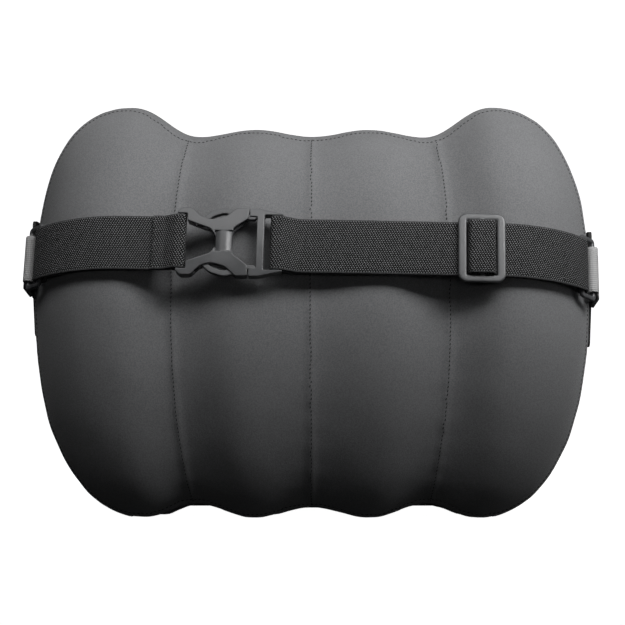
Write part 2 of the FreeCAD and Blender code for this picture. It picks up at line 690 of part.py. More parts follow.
def prong(node, side):
    """A spring prong: its shoulder catches behind the socket's mouth and its bow is pressed to let it go."""
    body = doc.addObject("PartDesign::Body", node)
    pivot, root, height = D["prong_pivot"], D["prong_root"], D["prong_height"]
    shoulder = -D["band_length"] - 0.3
    outline = [
        (pivot + root, height - root, root * 0.98), (pivot + root, height + root, root * 0.98),
        (pivot - 2.0, height + root, 1.0), (shoulder + 0.1, D["band_inner"] - 0.3, 0.1),
        (shoulder, 22.6, 0.4), (-16.0, 24.2, 8.0), (-25.5, 21.4, 12.0), (-32.5, 15.2, 2.0),
        (-32.5, 12.6, 1.0), (-29.6, 12.6, 1.2), (-24.0, 18.0, 10.0), (-16.0, 20.6, 9.0),
        (shoulder + 1.0, 17.4, 3.0), (pivot - 3.0, height - root, 2.0),
    ]
    if side < 0:
        outline = [(x, -z, radius) for x, z, radius in outline]
    pad(body, rounded_sketch(body, node + "_outline", [outline]), node + "_leaf", "$prong_thick")
    keep(node, body, strap_place(D["buckle_mouth"], D["buckle_plane"]))


# ---------------------------------------------------------------- build, check, export
cushion()
zip_tape("zip_tape_back", -1)
zip_tape("zip_tape_front", 1)
zip_slider()
zip_pull()
zip_stops()
webbing_left()
webbing_right()
for name, side in (("left", -1), ("right", 1)):
    side_patch("side_patch_" + name, side)
    side_tab("side_tab_" + name, side)
    ring("ring_" + name, side)
adjuster()
socket()
plug()
prong("prong_upper", 1)
prong("prong_lower", -1)
doc.recompute()

failed = [o.Name for o in doc.Objects if {"Invalid", "Error"} & set(o.State)]
assert not failed, "these objects failed: %s" % failed
os.makedirs("parts", exist_ok=True)
for node, thing in parts.items():
    shape = thing.Shape
    assert not shape.isNull() and shape.isValid() and shape.Volume > 0, node + " isn't a valid solid"
    shape.exportStep("parts/%s.step" % node)
    box = shape.BoundBox
    print("%-26s solids %d volume %10.1f  x %7.1f %7.1f  y %7.1f %7.1f  z %7.1f %7.1f" % (
        node, len(shape.Solids), shape.Volume, box.XMin, box.XMax, box.YMin, box.YMax, box.ZMin, box.ZMax))
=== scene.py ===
"""Lumbar support cushion: cover with sewn channels, elastic strap, buckle, adjuster, rings and tabs."""

import math

import bmesh
import bpy
import numpy as np
from mathutils import Matrix, Vector, noise


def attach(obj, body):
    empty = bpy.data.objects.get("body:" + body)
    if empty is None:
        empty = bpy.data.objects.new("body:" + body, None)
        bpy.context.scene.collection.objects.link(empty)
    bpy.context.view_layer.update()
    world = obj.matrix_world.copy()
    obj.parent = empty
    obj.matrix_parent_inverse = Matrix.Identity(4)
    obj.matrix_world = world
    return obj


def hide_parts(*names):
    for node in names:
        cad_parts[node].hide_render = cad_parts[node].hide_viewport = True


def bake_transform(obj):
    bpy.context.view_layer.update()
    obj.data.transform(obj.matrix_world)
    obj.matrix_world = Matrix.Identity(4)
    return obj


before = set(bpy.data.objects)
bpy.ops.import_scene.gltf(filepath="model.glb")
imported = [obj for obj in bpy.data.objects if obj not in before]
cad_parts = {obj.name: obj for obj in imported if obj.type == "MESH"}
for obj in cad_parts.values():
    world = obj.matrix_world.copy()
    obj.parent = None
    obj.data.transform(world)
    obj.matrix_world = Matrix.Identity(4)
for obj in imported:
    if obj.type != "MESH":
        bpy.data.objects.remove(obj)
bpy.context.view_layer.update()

MM = 0.001

# ---------------------------------------------------------------- the cushion's form, in millimetres
HALF_WIDTH = 199.6
WAIST = 157.0
MIDDLE = 8.0
SEAM = 90.0
BAND_BACK, BAND_FRONT = -8.0, 20.0
TOP_LINE = [(0.0, 274.3), (43.0, 279.4), (84.0, 274.3), (133.0, 295.4)]
BOTTOM_LINE = [(0.0, 5.5), (46.0, -1.5), (88.0, 8.0), (124.0, -1.5)]
BACK_LINE = [(0.0, 60.5), (46.0, 65.5), (90.0, 54.5), (130.0, 65.0)]
FRONT_LINE = [(0.0, 42.0), (44.0, 49.0), (90.0, 46.0), (140.0, 64.0)]
TOP_POWER, BOTTOM_POWER, DEPTH_POWER = 2.3, 2.15, 1.9
UPPER_BACK, UPPER_FRONT, LOWER_FRONT, LOWER_BACK = 2.1, 2.8, 3.2, 2.2

# ---------------------------------------------------------------- the strap's plane
STRAP_ORIGIN = Vector((0.0, -61.4, 188.4)) * MM
STRAP_TURN = Matrix.Rotation(math.radians(1.1), 4, "Y") @ Matrix.Rotation(math.radians(-13.0), 4, "X")
STRAP = Matrix.Translation(STRAP_ORIGIN) @ STRAP_TURN


def strap_point(x, y, z=0.0):
    """A place in the strap's plane, given in millimetres, as a point in the frame."""
    return STRAP @ (Vector((x, y, z)) * MM)


# ---------------------------------------------------------------- materials
class Nodes:
    """A short way to wire a material's nodes."""

    def __init__(self, name):
        self.material = bpy.data.materials.new(name)
        self.material.use_nodes = True
        self.tree = self.material.node_tree
        self.shader = self.tree.nodes["Principled BSDF"]

    def link(self, out, into):
        self.tree.links.new(out, into)

    def math(self, operation, a, b=None):
        node = self.tree.nodes.new("ShaderNodeMath")
        node.operation = operation
        for socket, value in zip(node.inputs, (a, b)):
            if value is None:
                continue
            if isinstance(value, (int, float)):
                socket.default_value = value
            else:
                self.link(value, socket)
        return node.outputs[0]

    def smooth(self, value, low, high, to_low=0.0, to_high=1.0):
        node = self.tree.nodes.new("ShaderNodeMapRange")
        node.interpolation_type = "SMOOTHSTEP"
        self.link(value, node.inputs["Value"])
        limits = (("From Min", low), ("From Max", high), ("To Min", to_low), ("To Max", to_high))
        for key, number in limits:
            node.inputs[key].default_value = number
        return node.outputs[0]

    def mix(self, share, a, b):
        node = self.tree.nodes.new("ShaderNodeMix")
        node.data_type = "RGBA"
        for index, value in ((0, share), (6, a), (7, b)):
            if isinstance(value, (int, float, tuple)):
                node.inputs[index].default_value = value
            else:
                self.link(value, node.inputs[index])
        return node.outputs[2]

    def noise(self, scale, detail=2.0, vector=None):
        node = self.tree.nodes.new("ShaderNodeTexNoise")
        node.inputs["Scale"].default_value = scale
        node.inputs["Detail"].default_value = detail
        if vector is not None:
            self.link(vector, node.inputs["Vector"])
        return node.outputs["Fac"]

    def uv(self):
        node = self.tree.nodes.new("ShaderNodeUVMap")
        node.uv_map = "UVMap"
        split = self.tree.nodes.new("ShaderNodeSeparateXYZ")
        self.link(node.outputs[0], split.inputs[0])
        return split.outputs[0], split.outputs[1]

    def position(self):
        node = self.tree.nodes.new("ShaderNodeTexCoord")
        return node.outputs["Object"]

    def bump(self, height, distance, strength=1.0, under=None):
        node = self.tree.nodes.new("ShaderNodeBump")
        node.inputs["Strength"].default_value = strength
        node.inputs["Distance"].default_value = distance
        self.link(height, node.inputs["Height"])
        if under is not None:
            self.link(under, node.inputs["Normal"])
        return node.outputs[0]

    def set(self, **values):
        for key, value in values.items():
            socket = self.shader.inputs[key.replace("_", " ")]
            if isinstance(value, (int, float, tuple)):
                socket.default_value = value
            else:
                self.link(value, socket)


def grey(value, cool=0.0):
    """A grey, with its red lowered and its blue raised by the share cool."""
    return (value * (1 - cool), value, value * (1 + 2 * cool), 1.0)


def cover_cloth(name):
    """Fine warp-knit cloth: a soft grain of loops, faint mottling, a little fuzz."""
    m = Nodes(name)
    where = m.position()
    u, v = m.uv()
    loops = m.math("MULTIPLY",
                   m.math("SINE", m.math("MULTIPLY", u, 2 * math.pi / 0.95)),
                   m.math("SINE", m.math("MULTIPLY", v, 2 * math.pi / 0.8)))
    fibre = m.noise(2300.0, 2.0, where)
    grain = m.noise(1150.0, 2.0, where)
    mottle = m.noise(22.0, 3.0, where)
    tone = m.math("ADD", m.smooth(grain, 0.3, 0.7, -0.35, 0.35), m.math("MULTIPLY", mottle, 0.45))
    tone = m.math("ADD", tone, m.math("MULTIPLY", loops, 0.22))
    tone = m.smooth(tone, -0.55, 1.0)
    m.set(Base_Color=m.mix(tone, grey(0.128, 0.012), grey(0.205, 0.012)))
    m.set(Roughness=0.94, Sheen_Weight=0.18, Sheen_Roughness=0.45, Specular_IOR_Level=0.22)
    fine = m.bump(m.math("ADD", m.math("MULTIPLY", loops, 0.5), fibre), 0.00018, 0.5)
    m.set(Normal=m.bump(grain, 0.0002, 0.3, fine))
    return m.material


def elastic_webbing(name):
    """Woven elastic: short bright picks on a slant, in close rows over a dark ground, with plain edges."""
    row_pitch, pick_pitch, row_shift = 1.3, 1.75, 0.38
    m = Nodes(name)
    u, v = m.uv()
    wobble = m.noise(700.0, 1.0, m.position())
    u = m.math("ADD", u, m.math("MULTIPLY", wobble, 0.35))
    row = m.math("DIVIDE", v, row_pitch)
    odd = m.math("ABSOLUTE", m.math("MODULO", m.math("FLOOR", row), 2.0))
    across = m.math("SUBTRACT", m.math("FRACT", row), 0.5)
    lean = m.math("SUBTRACT", m.math("MULTIPLY", odd, 2.0), 1.0)
    along = m.math("ADD", m.math("DIVIDE", u, pick_pitch),
                   m.math("MULTIPLY", m.math("FLOOR", row), row_shift))
    along = m.math("ADD", along, m.math("MULTIPLY", m.math("MULTIPLY", across, 0.5), lean))
    along = m.math("SUBTRACT", m.math("FRACT", along), 0.5)
    pick = m.math("ADD", m.math("POWER", m.math("MULTIPLY", m.math("ABSOLUTE", along), 3.1), 2.0),
                  m.math("POWER", m.math("MULTIPLY", m.math("ABSOLUTE", across), 2.3), 2.0))
    pick = m.smooth(pick, 0.25, 1.0, 1.0, 0.0)
    edge = m.smooth(m.math("ABSOLUTE", v), 17.7, 18.3)
    cord = m.math("ABSOLUTE", m.math("SINE", m.math("MULTIPLY", u, math.pi / 0.9)))
    height = m.math("ADD", m.math("MULTIPLY", pick, m.math("SUBTRACT", 1.0, edge)),
                    m.math("MULTIPLY", cord, m.math("MULTIPLY", edge, 0.5)))
    fuzz = m.noise(2400.0, 2.0, m.position())
    bright = m.math("MULTIPLY", height, m.smooth(fuzz, 0.25, 0.7, 0.5, 1.0))
    m.set(Base_Color=m.mix(bright, grey(0.004, 0.01), grey(0.25, 0.01)))
    m.set(Roughness=0.85, Specular_IOR_Level=0.12)
    m.set(Normal=m.bump(height, 0.0005, 1.0, m.bump(fuzz, 0.0001, 0.4)))
    return m.material


def flat_webbing(name, tone):
    """Plain ribbed tape for the side tabs."""
    m = Nodes(name)
    u, v = m.uv()
    rib = m.math("SINE", m.math("MULTIPLY", v, 2 * math.pi / 1.5))
    pick = m.math("SINE", m.math("MULTIPLY", u, 2 * math.pi / 0.8))
    height = m.math("ADD", m.math("MULTIPLY", rib, 0.6), m.math("MULTIPLY", pick, 0.3))
    grain = m.noise(1300.0, 2.0, m.position())
    share = m.math("ADD", m.smooth(height, -0.9, 0.9, 0.0, 0.6), m.math("MULTIPLY", grain, 0.4))
    m.set(Base_Color=m.mix(share, grey(tone * 0.7), grey(tone * 1.25)))
    m.set(Roughness=0.6, Specular_IOR_Level=0.4)
    m.set(Normal=m.bump(height, 0.00025, 0.7))
    return m.material


def moulded(name, tone, rough=0.42):
    """Moulded acetal: fine spark texture, faint flow marks and handling shine."""
    m = Nodes(name)
    where = m.position()
    spark = m.noise(3200.0, 2.0, where)
    wear = m.noise(90.0, 4.0, where)
    m.set(Base_Color=m.mix(m.smooth(wear, 0.3, 0.7), grey(tone * 0.9, 0.02), grey(tone * 1.1, 0.02)))
    m.set(Roughness=m.smooth(wear, 0.3, 0.7, rough - 0.05, rough + 0.08), Specular_IOR_Level=0.5)
    m.set(Normal=m.bump(spark, 0.00005, 0.5))
    return m.material


def plain(name, tone, rough=0.8, grain=1800.0, depth=0.0001):
    """A plain tone with a fine grain, for thread and coarse cloth."""
    m = Nodes(name)
    speck = m.noise(grain, 3.0, m.position())
    m.set(Base_Color=m.mix(speck, grey(tone * 0.8), grey(tone * 1.2)))
    m.set(Roughness=rough, Specular_IOR_Level=0.3)
    m.set(Normal=m.bump(speck, depth, 0.5))
    return m.material


def metal(name, tone):
    """Dark plated metal, a little uneven."""
    m = Nodes(name)
    speck = m.noise(700.0, 3.0, m.position())
    m.set(Base_Color=grey(tone), Metallic=0.9, Roughness=m.smooth(speck, 0.3, 0.7, 0.32, 0.46))
    m.set(Normal=m.bump(speck, 0.00003, 0.4))
    return m.material


CLOTH = cover_cloth("cover_cloth")
STRAP_CLOTH = elastic_webbing("strap_webbing")
TAB_CLOTH = flat_webbing("tab_webbing", 0.37)
PATCH_CLOTH = plain("patch_cloth", 0.03, 0.85, 1200.0, 0.0003)
BLACK = moulded("black_plastic", 0.08, 0.34)
THREAD = plain("sewing_thread", 0.012, 0.7)
LAP_THREAD = plain("lap_thread", 0.03, 0.6)
ZIP_TAPE = flat_webbing("zip_tape", 0.03)
ZIP_METAL = metal("zip_metal", 0.09)


# ---------------------------------------------------------------- small helpers
def new_piece(name, points, faces, material, uvs=None, sharp=40.0):
    """A mesh in the row frame, in metres. uvs is one pair per corner, in millimetres."""
    mesh = bpy.data.meshes.new(name)
    mesh.from_pydata([tuple(p) for p in points], [], faces)
    if uvs is not None:
        layer = mesh.uv_layers.new(name="UVMap")
        layer.data.foreach_set("uv", np.asarray(uvs, np.float32).ravel())
    mesh.materials.append(material)
    mesh.polygons.foreach_set("use_smooth", [True] * len(mesh.polygons))
    mesh.update()
    mesh.set_sharp_from_angle(angle=math.radians(sharp))
    piece = bpy.data.objects.new(name, mesh)
    bpy.context.scene.collection.objects.link(piece)
    return piece


def line_at(line, power, rim, x):
    """A lobe line at distances x from the middle: half cosine waves, then a superellipse to the side."""
    x = np.abs(x)
    value = np.zeros_like(x)
    for (x0, v0), (x1, v1) in zip(line, line[1:]):
        inside = (x >= x0) & (x <= x1)
        share = (1 - np.cos(np.pi * (x - x0) / (x1 - x0))) / 2
        value = np.where(inside, v0 + (v1 - v0) * share, value)
    x0, v0 = line[-1]
    t = np.clip((x - x0) / (HALF_WIDTH - x0), 0, 1)
    side = rim + (v0 - rim) * (1 - t ** power) ** (1 / power)
    return np.where(x > x0, side, value)


def seam_x(z):
    """How far out the outer channel seams lie at a height: farthest at the middle, nearer above and below."""
    farthest, pull, middle, reach = 95.5, 11.0, 152.0, 140.0
    return farthest - pull * (np.abs(z - middle) / reach) ** 2.2


def cushion_surface(column, angle):
    """Points of the cushion's surface: column counts across its lobes, angle goes round its section."""
    top = line_at(TOP_LINE, TOP_POWER, WAIST, column)
    bottom = line_at(BOTTOM_LINE, BOTTOM_POWER, WAIST, column)
    back = line_at(BACK_LINE, DEPTH_POWER, 0.0, column)
    front = line_at(FRONT_LINE, DEPTH_POWER, 0.0, column)
    cos, sin = np.cos(angle), np.sin(angle)
    power = np.where(cos > 0, np.where(sin > 0, UPPER_FRONT, LOWER_FRONT),
                     np.where(sin > 0, UPPER_BACK, LOWER_BACK))
    c = np.sign(cos) * np.abs(cos) ** (2 / power)
    s = np.sign(sin) * np.abs(sin) ** (2 / power)
    z = (top + bottom) / 2 + (top - bottom) / 2 * s
    y = MIDDLE + np.where(c > 0, front, back) * c
    edge = seam_x(z)
    far = np.abs(column)
    outside = edge + (far - SEAM) * (HALF_WIDTH - edge) / (HALF_WIDTH - SEAM)
    x = np.where(far <= SEAM, far * edge / SEAM, outside)
    return np.stack([np.sign(column) * x, y, z], axis=-1)


def normals_of(points):
    """Outward normals of a grid of surface points, closed along its second axis."""
    across = np.gradient(points, axis=0)
    around = (np.roll(points, -1, axis=1) - np.roll(points, 1, axis=1)) / 2
    normal = np.cross(across, around)
    length = np.linalg.norm(normal, axis=-1, keepdims=True)
    return normal / np.maximum(length, 1e-9)


def columns(inner_step, cap_steps):
    """Column coordinates: even between the outer crests, then closing up to the side."""
    crest = 130
    inner = np.linspace(-crest, crest, int(2 * crest / inner_step) + 1)
    turn = np.linspace(0, math.pi / 2, cap_steps + 1)[1:-1]
    cap = crest + (HALF_WIDTH - crest) * np.sin(turn)
    cap = np.append(cap, HALF_WIDTH - 0.05)
    return np.concatenate([-cap[::-1], inner, cap])


def value_noise(points, scale, seed):
    """Smooth noise in -1..1 at each point."""
    flat = points.reshape(-1, 3) * scale + seed
    return np.array([noise.noise(Vector(p)) for p in flat]).reshape(points.shape[:-1])


def seam_distance(column, points, normal):
    """Distance in millimetres over the cloth to the nearest channel seam and to the nearest edge seam."""
    channel = np.min([np.abs(column - c) for c in (-SEAM, 0.0, SEAM)], axis=0)
    tilt = np.sqrt(np.maximum(1 - normal[..., 1] ** 2, 0.02))
    edge = np.min([np.abs(points[..., 1] - y) / tilt for y in (BAND_BACK, BAND_FRONT)], axis=0)
    return channel, edge


def grid_mesh(name, points, uv, material):
    """A closed piece from a grid of points: closed round its section and capped at both sides."""
    across, around = points.shape[:2]
    verts = list((points * MM).reshape(-1, 3))
    faces, corner_uv = [], []
    for i in range(across - 1):
        for j in range(around):
            k = (j + 1) % around
            faces.append((i * around + j, i * around + k, (i + 1) * around + k, (i + 1) * around + j))
            wrap = uv[i, -1, 1] * around / (around - 1) if k == 0 else uv[i, k, 1]
            corner_uv += [tuple(uv[i, j]), (uv[i, k, 0], wrap)]
            corner_uv += [(uv[i + 1, k, 0], wrap), tuple(uv[i + 1, j])]
    faces.append(tuple(range(around))[::-1])
    corner_uv += [tuple(uv[0, j]) for j in reversed(range(around))]
    faces.append(tuple((across - 1) * around + j for j in range(around)))
    corner_uv += [tuple(uv[-1, j]) for j in range(around)]
    return new_piece(name, verts, faces, material, corner_uv, 60.0)


COARSE = 3
FRAMES = 20
MOST_PUFF = 1.8


def puffed(points, normal, held):
    """Runs the cover as cloth under air pressure, held at its seams: how far each point moves outward."""
    across, around = points.shape[:2]
    rows = np.unique(np.linspace(0, across - 1, across // COARSE).astype(int))
    cols = np.arange(0, around, COARSE)
    coarse = points[np.ix_(rows, cols)]
    form = grid_mesh("pressure_form", coarse, np.zeros(coarse.shape[:2] + (2,)), CLOTH)
    group = form.vertex_groups.new(name="seams")
    group.add([int(k) for k in np.nonzero(held[np.ix_(rows, cols)].ravel())[0]], 1.0, "REPLACE")
    cloth = form.modifiers.new("pressure", "CLOTH")
    cloth.point_cache.frame_start, cloth.point_cache.frame_end = 1, FRAMES
    cloth.collision_settings.use_collision = False
    rules = cloth.settings
    rules.quality, rules.mass = 6, 0.3
    rules.tension_stiffness = rules.compression_stiffness = 12.0
    rules.shear_stiffness, rules.bending_stiffness = 6.0, 0.6
    rules.use_pressure, rules.uniform_pressure_force = True, 4.0
    rules.vertex_group_mass = "seams"
    rules.effector_weights.gravity = 0.0
    scene = bpy.context.scene
    for step in range(1, FRAMES + 1):
        scene.frame_set(step)
    moved = form.evaluated_get(bpy.context.evaluated_depsgraph_get()).to_mesh()
    flat = np.zeros(len(moved.vertices) * 3, np.float32)
    moved.vertices.foreach_get("co", flat)
    scene.frame_set(1)
    shift = ((flat.reshape(coarse.shape) / MM - coarse) * normal[np.ix_(rows, cols)]).sum(axis=-1)
    bpy.data.objects.remove(form)
    shift = np.clip(shift - np.median(shift), -MOST_PUFF, MOST_PUFF)
    full = np.stack([np.interp(np.arange(across), rows, line) for line in shift.T], axis=1)
    return np.stack([np.interp(np.arange(around), cols, line, period=around) for line in full], axis=0)


def open_slot(points):
    """Lifts the cover's underside round the zip, so that the zip lies in an open slot."""
    half_length, half_width, zip_line, roof, underside = 128.0, 9.5, 6.0, 12.4, 30.0
    x, y, z = points[..., 0], points[..., 1], points[..., 2]
    inside = (np.abs(x) < half_length) & (np.abs(y - zip_line) < half_width) & (z < underside)
    points[..., 2] = np.where(inside, np.maximum(z, roof), z)


def relief(points, channel, edge):
    """How far the cloth stands off the plain form: grooves at the seams, slow swells and short puckers."""
    back_side = np.clip((BAND_BACK - points[..., 1]) / 6, 0, 1)
    back_side = back_side + np.clip((points[..., 1] - BAND_FRONT) / 6, 0, 1)
    groove = 1.1 * np.exp(-(channel / 2.6) ** 2) * back_side + 0.9 * np.exp(-(edge / 2.2) ** 2)
    swell = 0.7 * value_noise(points, 1 / 70.0, 3.1) + 0.35 * value_noise(points, 1 / 26.0, 8.7)
    pucker = value_noise(points * np.array([0.25, 0.25, 1.0]), 1 / 8.0, 5.5)
    pucker = pucker * np.exp(-channel / 9.0) * back_side
    pucker += value_noise(points * np.array([1.0, 0.3, 0.4]), 1 / 9.0, 1.9) * np.exp(-edge / 8.0)
    held = ((channel < 3.2) & (back_side > 0.2)) | (edge < 3.6)
    return swell + 0.45 * pucker - groove - 0.4, held


def build_cushion():
    """The cover: one closed mesh with its seams sunk in, puffed between them as cloth."""
    fine = 2.0
    column = columns(fine, int(100 / fine))
    angle = np.linspace(0, 2 * math.pi, 3 * int(700 / fine / 3), endpoint=False)
    grid_c, grid_a = np.meshgrid(column, angle, indexing="ij")
    points = cushion_surface(grid_c, grid_a)
    normal = normals_of(points)
    channel, edge = seam_distance(grid_c, points, normal)
    lift, held = relief(points, channel, edge)
    lift += puffed(points, normal, held)
    points = points + normal * lift[..., None]
    points[..., 2] = np.maximum(points[..., 2], 0.0)
    open_slot(points)
    length = np.cumsum(np.linalg.norm(np.diff(points[:, len(angle) // 2], axis=0), axis=-1))
    u = np.concatenate([[0.0], length])
    girth = np.linalg.norm(np.roll(points, -1, axis=1) - points, axis=-1)
    v = np.cumsum(girth[len(column) // 3])
    uv = np.stack(np.meshgrid(u, v, indexing="ij"), axis=-1)
    cover = grid_mesh("cushion_cover", points, uv, CLOTH)
    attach(cover, "cushion")
    panels = [side + "_panel_" + name for side in ("back", "front")
              for name in ("outer_left", "inner_left", "inner_right", "outer_right")]
    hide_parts("foam_core", "side_band", *panels)
    return cover


cover = build_cushion()


# ---------------------------------------------------------------- stitches
def capsule(points, faces, start, end, out, radius):
    """Adds a short thread to a mesh: a low six-sided tube with closed, dipping ends."""
    along = (end - start)
    side = along.cross(out).normalized()
    base = len(points)
    rings = ((0.0, 0.35, -0.9), (0.18, 0.9, 0.15), (0.5, 1.0, 0.45), (0.82, 0.9, 0.15), (1.0, 0.35, -0.9))
    for share, width, height in rings:
        centre = start + along * share + out * (height * radius)
        for k in range(6):
            a = math.pi * k / 3
            points.append(centre + (side * math.cos(a) + out * math.sin(a)) * radius * width)
    for r in range(len(rings) - 1):
        for k in range(6):
            n = (k + 1) % 6
            faces.append((base + r * 6 + k, base + r * 6 + n, base + r * 6 + 6 + n, base + r * 6 + 6 + k))
    faces.append(tuple(base + k for k in range(5, -1, -1)))
    last = base + 6 * (len(rings) - 1)
    faces.append(tuple(last + k for k in range(6)))


def surface_finder(piece):
    """A function that drops a point onto a piece's surface and gives the point and the normal there."""
    graph = bpy.context.evaluated_depsgraph_get()
    found = piece.evaluated_get(graph)

    def drop(point):
        hit, where, normal, _ = found.closest_point_on_mesh(point)
        return where, normal
    return drop


def stitch_line(name, path, drop, pitch, length, radius, body, material, slant=0.0):
    """A row of threads along a path of points, laid on a surface. Pitch, length and radius are in metres."""
    points, faces = [], []
    steps = [(b - a).length for a, b in zip(path, path[1:])]
    total, goal, walked = sum(steps), pitch / 2, 0.0
    for (a, b), step in zip(zip(path, path[1:]), steps):
        while step > 0 and goal <= walked + step:
            centre, out = drop(a + (b - a) * ((goal - walked) / step))
            along = (b - a).normalized()
            along = (along - out * along.dot(out)).normalized()
            turned = along + along.cross(out) * slant
            half = turned.normalized() * (length / 2)
            capsule(points, faces, centre - half, centre + half, out, radius)
            goal += pitch
        walked += step
    piece = new_piece(name, points, faces, material, sharp=80.0)
    if body:
        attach(piece, body)
    return piece


drop_on_cover = surface_finder(cover)


def channel_path(side, front):
    """The line of a channel seam over the back or front of the cushion."""
    start, end = (math.pi / 2, 3 * math.pi / 2) if not front else (math.pi / 2, -math.pi / 2)
    angle = np.linspace(start, end, 260)
    points = cushion_surface(np.full_like(angle, side * SEAM), angle)
    keep = points[:, 1] < BAND_BACK - 1.5 if not front else points[:, 1] > BAND_FRONT + 1.5
    return [Vector(p) * MM for p in points[keep]]


for side, place in ((-1, "left"), (0, "middle"), (1, "right")):
    for front in (False, True):
        name = "stitch_%s_%s" % ("front" if front else "back", place)
        stitch_line(name, channel_path(side, front), drop_on_cover,
                    0.0029, 0.0020, 0.00033, "cushion", THREAD, slant=0.28)


def edge_path(depth):
    """The line where the cushion's surface crosses a depth, once round its outline."""
    found = []
    for sign in (1, -1):
        column = columns(2.0, 60)
        column = column if sign > 0 else column[::-1]
        for c in column:
            angle = np.linspace(math.pi / 2, math.pi if depth < MIDDLE else 0, 90) * sign
            line = cushion_surface(np.full_like(angle, c), angle)
            gap = np.abs(line[:, 1] - depth)
            if gap.min() < 1.2:
                found.append(Vector(line[gap.argmin()]) * MM)
    return found + found[:1]


for name, depth in (("stitch_rim_back", BAND_BACK - 3.2), ("stitch_rim_front", BAND_FRONT + 3.2)):
    stitch_line(name, edge_path(depth), drop_on_cover, 0.0031, 0.0021, 0.0003, "cushion", THREAD)


# ---------------------------------------------------------------- webbing
WIDTH, THICK = 38.0, 1.7
STRAIGHT, RADIUS = 126.0, 90.0        # the strap is straight to here, then turns round the cushion's side
TURN = math.radians(46.0)
REACH, CORNER = 3.2, 1.5              # how far a fold stands off its bar, and its corners' radius
LAYER = 1.9                           # from one layer of webbing to the next
MOUTH, BUCKLE = -41.6, -3.2           # the socket's mouth, and the buckle's plane
SOCKET_BAR, PLUG_BAR = MOUTH - 46.0, MOUTH + 18.6
ADJUSTER = 115.5
RING_TO_TAB, TAB_ANGLE = 14.8, math.radians(49.0)


def rounded(corners, sag=0.004):
    """Points of a path through (x, y, radius) corners, each rounded with an arc."""
    path = [Vector(corners[0][:2])]
    for (x0, y0, _), (x, y, radius), (x1, y1, _) in zip(corners, corners[1:], corners[2:]):
        here = Vector((x, y))
        a, b = (Vector((x0, y0)) - here).normalized(), (Vector((x1, y1)) - here).normalized()
        turn = math.pi - a.angle(b)
        if radius <= 0 or turn < 0.01:
            path.append(here)
            continue
        centre = here + (a + b).normalized() * (radius / math.cos(turn / 2))
        back = radius * math.tan(turn / 2)
        first, last = here + a * back - centre, here + b * back - centre
        pieces = math.ceil(turn / math.sqrt(8 * sag / radius))
        for k in range(pieces + 1):
            share = k / pieces
            sweep = first * math.sin((1 - share) * turn) + last * math.sin(share * turn)
            path.append(centre + sweep / math.sin(turn))
    path.append(Vector(corners[-1][:2]))
    return path


def spread(path, step):
    """The same path with long straights cut into steps."""
    out = [path[0]]
    for a, b in zip(path, path[1:]):
        count = max(1, math.ceil((b - a).length / step))
        out += [a + (b - a) * (k / count) for k in range(1, count + 1)]
    return out


def ribbon(name, path, width, thick, material, step=4.0, wave=0.0):
    """A strip of webbing on edge along a path of millimetre points, with rounded selvedges."""
    path = spread([p for k, p in enumerate(path) if k == 0 or (p - path[k - 1]).length > 1e-4], step)
    half, edge = width / 2, thick * 0.42
    flat = list(np.linspace(-half + edge, half - edge, 15))
    near = half - edge * 0.2
    loop = [(z, 0.5) for z in flat] + [(near, 0.33), (half, 0.0), (near, -0.33)]
    loop += [(z, -0.5) for z in reversed(flat)] + [(-near, -0.33), (-half, 0.0), (-near, 0.33)]
    points, u_of, walked = [], [], 0.0
    for k, here in enumerate(path):
        ahead = (path[min(k + 1, len(path) - 1)] - here)
        behind = (here - path[max(k - 1, 0)])
        along = (ahead.normalized() if ahead.length else Vector((0, 0)))
        along = (along + (behind.normalized() if behind.length else Vector((0, 0)))).normalized()
        normal = Vector((-along.y, along.x))
        walked += behind.length
        u_of.append(walked)
        for z, n in loop:
            bow = wave * math.sin(walked / 19.0 + z / 31.0) * (z / half) ** 2
            at = here + normal * (n * thick + bow)
            points.append(strap_point(at.x, at.y, z))
    size = len(loop)
    faces, uvs = [], []
    v_of = [z for z, _ in loop]
    for k in range(len(path) - 1):
        for i in range(size):
            j = (i + 1) % size
            faces.append((k * size + i, k * size + j, (k + 1) * size + j, (k + 1) * size + i))
            uvs += [(u_of[k], v_of[i]), (u_of[k], v_of[j])]
            uvs += [(u_of[k + 1], v_of[j]), (u_of[k + 1], v_of[i])]
    for k, order in ((0, 1), (len(path) - 1, -1)):
        faces.append(tuple(k * size + i for i in range(size))[::-order])
        uvs += [(u_of[k], v_of[i]) for i in range(size)][::-order]
    return new_piece(name, points, faces, material, uvs, 70.0)


def mirrored(corners):
    """The same corners on the strap's left."""
    return [(-x, y, r) for x, y, r in corners]


def turn_corner():
    """The corner whose rounding is the strap's turn round the cushion's side."""
    return (STRAIGHT + RADIUS * math.tan(TURN / 2), 0.0, RADIUS)


def ring_bar():
    """The middle of the ring's rear bar, in the fold of the strap's end."""
    x, y = STRAIGHT + RADIUS * math.sin(TURN), RADIUS * (1 - math.cos(TURN))
    return Vector((x, y)) + Vector((-math.sin(TURN), math.cos(TURN))) * REACH


def tab_bar():
    """The middle of the ring's other bar, in the side tab's fold."""
    return ring_bar() + Vector((math.cos(TAB_ANGLE), math.sin(TAB_ANGLE))) * RING_TO_TAB


def ring_fold():
    """The corners of the strap's end: round the ring's bar and back inside the turn."""
    bar = ring_bar()
    along = Vector((math.cos(TURN), math.sin(TURN)))
    inward = Vector((-math.sin(TURN), math.cos(TURN)))
    tips = [bar - inward * REACH + along * REACH, bar + inward * REACH + along * REACH,
            bar + inward * REACH - along * REACH]
    fold = [(p.x, p.y, 2.4 if k < 2 else CORNER) for k, p in enumerate(tips)]
    inner = RADIUS - LAYER
    for back in (9.0, 14.0, 19.0, 24.0):
        angle = TURN - back / RADIUS
        fold.append((STRAIGHT + inner * math.sin(angle), RADIUS - inner * math.cos(angle), 0.0))
    return fold


